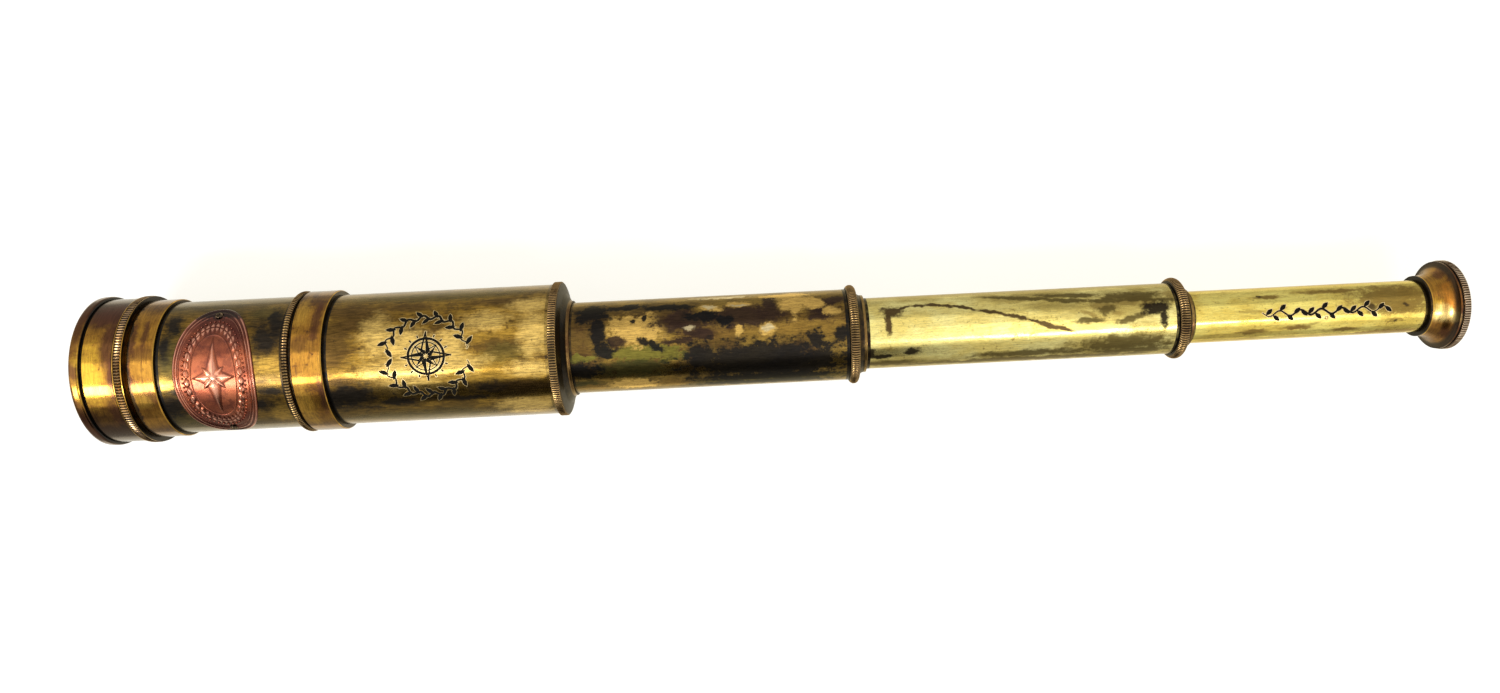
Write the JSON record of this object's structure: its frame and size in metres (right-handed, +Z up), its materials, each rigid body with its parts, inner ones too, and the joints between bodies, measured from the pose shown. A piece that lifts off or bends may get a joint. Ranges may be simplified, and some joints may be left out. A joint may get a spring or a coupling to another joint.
{
  "type": "spyglass",
  "caption": "Hand-held telescoping spyglass in antiqued brass, with nested draw tubes, pull-off dust cap, glass objective, erector and eyepiece, and flared eyecup.",
  "frame": {"origin": "on the optical axis, in the middle of the barrel's collar band", "axes": "+X along the optical axis from the dust cap towards the eyecup, +Z up with the spyglass lying level, badge uppermost; +Y completes the right-handed frame"},
  "size_m": [0.4576, 0.0508, 0.0508],
  "materials": {
    "amber_brass": "satin antique brass with amber and purple-brown heat tones",
    "olive_brass": "dark olive patina with streaks",
    "antique_brass": "satin antique brass with brown streaks along the tube",
    "stained_brass": "polished brass with black-green patina patches",
    "pale_brass": "bright drawn brass with dark stain lines",
    "knurled_brass": "knurled, darkened in the grooves",
    "copper_plate": "embossed copper",
    "turned_brass": "plain turned brass inside the tubes",
    "black_lacquer": "matt black",
    "optical_glass": "polished"
  },
  "bodies": {
    "barrel": {"objective_cell": "amber_brass", "objective_crown_lens": "optical_glass", "objective_flint_lens": "optical_glass", "objective_retaining_ring": "black_lacquer", "front_tube": "olive_brass", "badge_plate": "copper_plate", "badge_rivets": "knurled_brass", "front_coupling": "knurled_brass", "collar_band": "amber_brass", "barrel_tube": "antique_brass", "barrel_end_bush": "knurled_brass", "barrel_guide_sleeve": "turned_brass"},
    "cap": {"dust_cap": "amber_brass"},
    "draw_1": {"draw_tube_1": "stained_brass", "draw_1_stop_ring": "turned_brass", "draw_1_light_stop": "black_lacquer", "draw_1_end_bush": "knurled_brass", "draw_1_guide_sleeve": "turned_brass"},
    "draw_2": {"draw_tube_2": "pale_brass", "draw_2_stop_ring": "turned_brass", "draw_2_end_bush": "knurled_brass", "draw_2_guide_sleeve": "turned_brass"},
    "draw_3": {"draw_tube_3": "pale_brass", "draw_3_stop_ring": "turned_brass", "erector_tube": "turned_brass", "erector_front_lens": "optical_glass", "erector_rear_lens": "optical_glass", "erector_light_stop": "black_lacquer", "erector_retaining_rings": "turned_brass", "eyepiece_tube": "turned_brass", "field_lens": "optical_glass", "field_lens_ring": "turned_brass", "field_stop": "black_lacquer", "eye_lens": "optical_glass", "eye_lens_ring": "turned_brass", "eyecup": "amber_brass"}
  },
  "joints": [
    {"name": "cap_pull", "type": "slide", "parent": "barrel", "child": "cap", "axis": [-1, 0, 0], "range_m": [0, 0.03]},
    {"name": "draw_1_slide", "type": "slide", "parent": "barrel", "child": "draw_1", "axis": [1, 0, 0], "range_m": [-0.0926, 0]},
    {"name": "draw_2_slide", "type": "slide", "parent": "draw_1", "child": "draw_2", "axis": [1, 0, 0], "range_m": [-0.104, 0]},
    {"name": "draw_3_slide", "type": "slide", "parent": "draw_2", "child": "draw_3", "axis": [1, 0, 0], "range_m": [-0.0787, 0]}
  ]
}
